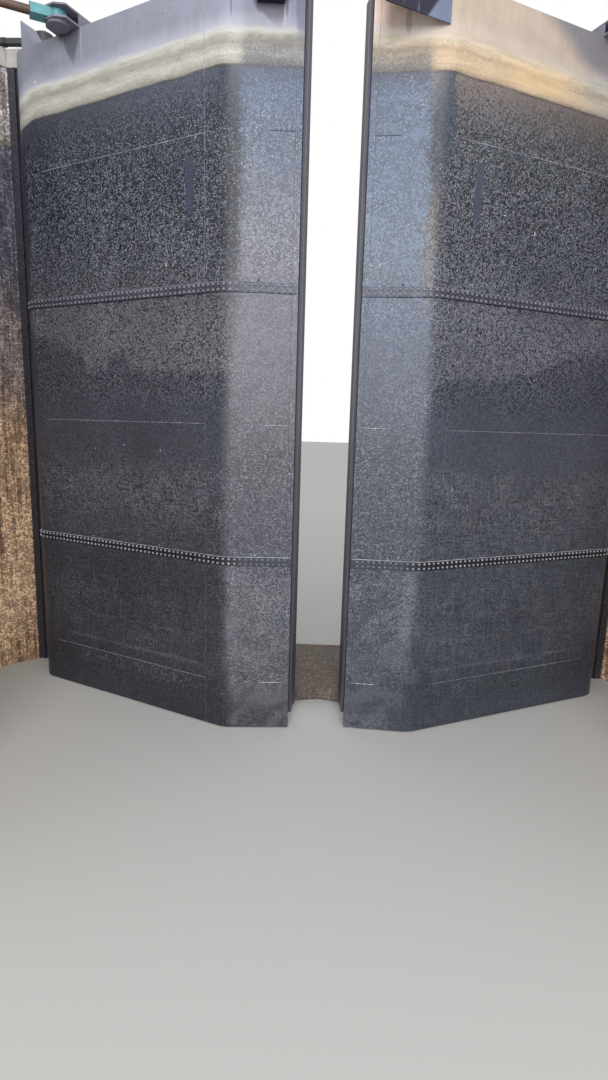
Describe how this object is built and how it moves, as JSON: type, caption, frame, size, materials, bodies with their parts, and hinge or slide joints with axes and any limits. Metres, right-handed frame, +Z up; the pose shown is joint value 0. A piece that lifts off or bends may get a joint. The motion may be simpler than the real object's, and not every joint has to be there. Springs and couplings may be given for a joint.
{
  "type": "mitre gate of a navigation lock",
  "caption": "Pair of tall steel mitre gate leaves with bolted splices, hung partly open in lengths of chamber wall with leaf recesses.",
  "frame": {"origin": "on the underside of the sill, midway between the two leaf pivots, at the waterline level of the picture", "axes": "+X across the chamber, +Y downstream, away from the water that the skins hold back, +Z up"},
  "size_m": [19.2, 10.4, 13.4303],
  "materials": {
    "concrete": "rough stained concrete",
    "coping_stone": "weathered concrete",
    "block_paint": "painted concrete",
    "skin_steel": "wet stained paint with a tide mark",
    "strap_steel": "dark bolted cover straps",
    "frame_steel": "grey paint with rust",
    "bar_metal": "worn contact bar",
    "bracket_paint": "grey paint",
    "nose_paint": "dark paint",
    "dark_steel": "dark paint",
    "teal_paint": "teal paint",
    "cylinder_paint": "dark grey paint",
    "bed_paint": "weathered paint"
  },
  "bodies": {
    "root": {"sill": "concrete", "wall_left": "concrete", "coping_left": "coping_stone", "pintle_left": "dark_steel", "anchor_left": "dark_steel", "anchor_block_left": "block_paint", "cylinder_bed_left": "bed_paint", "quoin_liner_left": "dark_steel", "wall_right": "concrete", "coping_right": "coping_stone", "pintle_right": "dark_steel", "anchor_right": "dark_steel", "anchor_block_right": "block_paint", "cylinder_bed_right": "bed_paint", "quoin_liner_right": "dark_steel"},
    "leaf_left": {"skin_bottom_left": "skin_steel", "skin_middle_left": "skin_steel", "skin_top_left": "skin_steel", "nose_bottom_left": "skin_steel", "nose_middle_left": "skin_steel", "nose_top_left": "skin_steel", "splice_straps_left": "strap_steel", "girder_webs_left": "frame_steel", "girder_flanges_left": "frame_steel", "diaphragms_left": "frame_steel", "skin_ribs_left": "frame_steel", "heel_post_left": "frame_steel", "mitre_post_left": "frame_steel", "mitre_bar_left": "bar_metal", "braces_left": "frame_steel", "drive_bracket_left": "bracket_paint", "nose_bracket_left": "nose_paint"},
    "leaf_right": {"skin_bottom_right": "skin_steel", "skin_middle_right": "skin_steel", "skin_top_right": "skin_steel", "nose_bottom_right": "skin_steel", "nose_middle_right": "skin_steel", "nose_top_right": "skin_steel", "splice_straps_right": "strap_steel", "girder_webs_right": "frame_steel", "girder_flanges_right": "frame_steel", "diaphragms_right": "frame_steel", "skin_ribs_right": "frame_steel", "heel_post_right": "frame_steel", "mitre_post_right": "frame_steel", "mitre_bar_right": "bar_metal", "braces_right": "frame_steel", "drive_bracket_right": "bracket_paint", "nose_bracket_right": "nose_paint"},
    "rod_left": {"drive_rod_left": "teal_paint"},
    "cylinder_left": {"drive_cylinder_left": "cylinder_paint"},
    "rod_right": {"drive_rod_right": "teal_paint"},
    "cylinder_right": {"drive_cylinder_right": "cylinder_paint"}
  },
  "joints": [
    {"name": "leaf_left_hinge", "type": "hinge", "parent": "root", "child": "leaf_left", "pos_m": [-5.9, 0, 0.3], "axis": [0, 0, 1], "range_deg": [-62.6, 12.6]},
    {"name": "leaf_right_hinge", "type": "hinge", "parent": "root", "child": "leaf_right", "pos_m": [5.9, 0, 0.3], "axis": [0, 0, 1], "range_deg": [-11.6, 63.6]},
    {"name": "rod_left_pin", "type": "hinge", "parent": "leaf_left", "child": "rod_left", "pos_m": [-4.89351, -1.75046, 12.478], "axis": [0, 0, 1], "range_deg": [-16.12, 78.12]},
    {"name": "cylinder_left_stroke", "type": "slide", "parent": "rod_left", "child": "cylinder_left", "axis": [-0.9026, -0.4305, 0], "range_m": [-1.824, 0.375]},
    {"name": "rod_right_pin", "type": "hinge", "parent": "leaf_right", "child": "rod_right", "pos_m": [4.86311, -1.73263, 12.478], "axis": [0, 0, 1], "range_deg": [-79.36, 14.88]},
    {"name": "cylinder_right_stroke", "type": "slide", "parent": "rod_right", "child": "cylinder_right", "axis": [0.9026, -0.4305, 0], "range_m": [-1.775, 0.332]}
  ],
  "couplings": [
    {"joint": "rod_left_pin", "follows": "leaf_left_hinge", "ratio": -1.24},
    {"joint": "cylinder_left_stroke", "follows": "leaf_left_hinge", "m_per_rad": 1.66},
    {"joint": "rod_right_pin", "follows": "leaf_right_hinge", "ratio": -1.24},
    {"joint": "cylinder_right_stroke", "follows": "leaf_right_hinge", "m_per_rad": -1.59}
  ]
}
